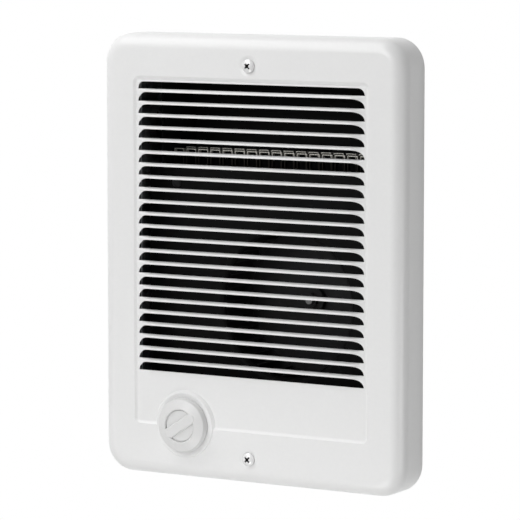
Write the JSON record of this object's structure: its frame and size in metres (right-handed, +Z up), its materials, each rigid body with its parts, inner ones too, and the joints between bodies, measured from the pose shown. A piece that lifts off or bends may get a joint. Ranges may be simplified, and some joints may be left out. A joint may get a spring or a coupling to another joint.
{
  "type": "recessed wall fan heater",
  "caption": "Recessed bathroom wall fan heater: white steel grille with hooded louvres over a wall can, centrifugal blower, ribbon element and rotary thermostat.",
  "frame": {"origin": "centre of the wall can's back face", "axes": "+Z up, the grille faces -Y, +X to the right of someone facing the grille"},
  "size_m": [0.235, 0.1398, 0.3048],
  "materials": {
    "grille_enamel": "white powder coat, satin gloss",
    "knob_plastic": "moulded white plastic",
    "black_enamel": "black satin enamel",
    "galvanised": "galvanised sheet, faint spangle",
    "plated_screws": "bright zinc plating",
    "steel": "ground steel",
    "laminations": "stacked electrical steel",
    "coil_wire": "enamelled copper wire under varnish",
    "bobbin_nylon": "natural nylon",
    "die_cast": "die cast, as made",
    "bronze": "sintered bronze",
    "brass": "stamped brass",
    "heating_ribbon": "bright nickel chrome ribbon",
    "mica": "mica board with silvery flakes",
    "ceramic": "glazed steatite",
    "phenolic": "dark moulded phenolic",
    "ground_green": "green dyed zinc"
  },
  "bodies": {
    "heater": {"wall_can": "galvanised", "cable_clamp": "galvanised", "cable_clamp_screw": "plated_screws", "ground_screw": "ground_green", "grille": "grille_enamel", "grille_screw_top": "plated_screws", "grille_screw_bottom": "plated_screws", "thermostat_body": "phenolic", "thermostat_nut": "plated_screws", "thermostat_bracket": "galvanised", "thermostat_bracket_screw_left": "plated_screws", "thermostat_bracket_screw_right": "plated_screws", "thermostat_terminal_line": "brass", "thermostat_terminal_load": "brass", "heater_plate": "black_enamel", "chassis_screw_top_left": "plated_screws", "chassis_screw_top_right": "plated_screws", "chassis_screw_bottom_left": "plated_screws", "chassis_screw_bottom_right": "plated_screws", "blower_housing": "black_enamel", "motor_stator": "laminations", "coil_bobbin": "bobbin_nylon", "motor_coil": "coil_wire", "bearing_bracket_front": "die_cast", "bearing_bracket_rear": "die_cast", "bearing_front": "bronze", "bearing_rear": "bronze", "motor_bolt_upper": "plated_screws", "motor_nut_upper": "plated_screws", "motor_bolt_lower": "plated_screws", "motor_nut_lower": "plated_screws", "outlet_duct": "black_enamel", "duct_screw_left": "plated_screws", "duct_screw_right": "plated_screws", "mica_strip_front": "mica", "mica_strip_rear": "mica", "element_ribbon_front": "heating_ribbon", "element_ribbon_rear": "heating_ribbon", "terminal_bar_left": "brass", "terminal_bar_right": "brass", "terminal_bush_left": "ceramic", "terminal_bush_right": "ceramic", "terminal_nut_left": "plated_screws", "terminal_nut_right": "plated_screws", "thermal_limit": "steel", "limit_screw_upper": "plated_screws", "limit_screw_lower": "plated_screws"},
    "blower": {"blower_wheel": "steel", "wheel_back_plate": "steel", "hub_nut": "plated_screws", "motor_shaft": "steel", "motor_rotor": "laminations"},
    "control": {"thermostat_knob": "knob_plastic", "thermostat_shaft": "brass"}
  },
  "joints": [
    {"name": "blower_spin", "type": "hinge", "parent": "heater", "child": "blower", "pos_m": [0.0127, -0.0426, -0.0306], "axis": [0, 1, 0], "continuous": true},
    {"name": "thermostat_turn", "type": "hinge", "parent": "heater", "child": "control", "pos_m": [-0.0507, -0.127, -0.1138], "axis": [0, 1, 0], "range_deg": [0, 270]}
  ]
}
